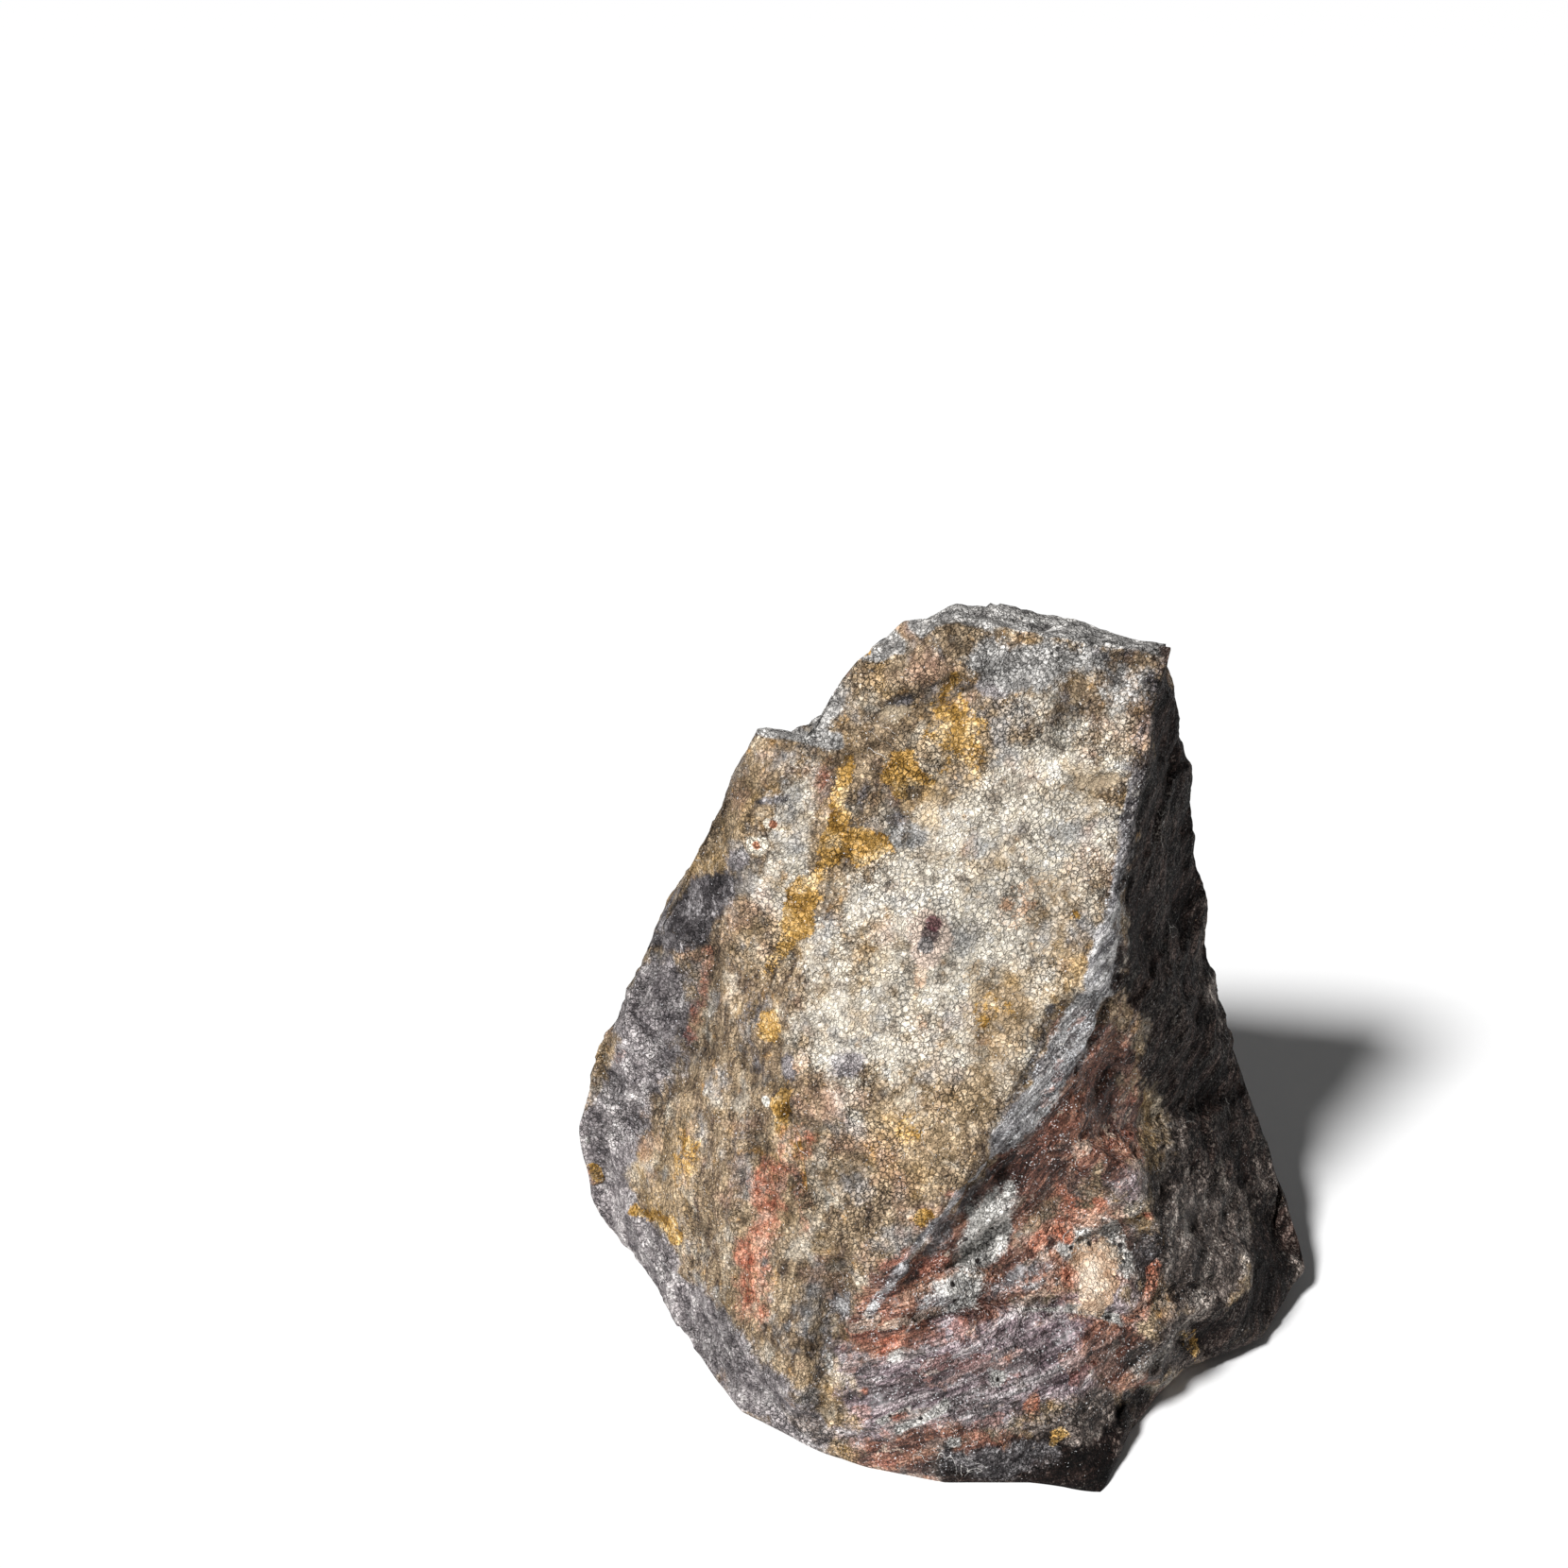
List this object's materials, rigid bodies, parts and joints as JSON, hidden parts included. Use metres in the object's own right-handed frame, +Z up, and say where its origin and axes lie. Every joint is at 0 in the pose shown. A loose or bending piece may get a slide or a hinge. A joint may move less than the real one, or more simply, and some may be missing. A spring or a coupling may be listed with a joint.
{
  "type": "wonderstone boulder",
  "caption": "Rough wonderstone boulder, a leaning broken wedge of ochre, cream and plum banded volcanic rock that stands on a flat base.",
  "frame": {"origin": "on the ground, under the middle of the stone's box", "axes": "+Z up, -Y towards the broad ochre front face, +X towards the steep dark right face"},
  "size_m": [0.58, 0.445, 0.59],
  "materials": {
    "wonderstone": "rough broken rock, ochre and cream with plum, grey and gold zones"
  },
  "bodies": {
    "root": {"stone": "wonderstone"}
  },
  "joints": []
}
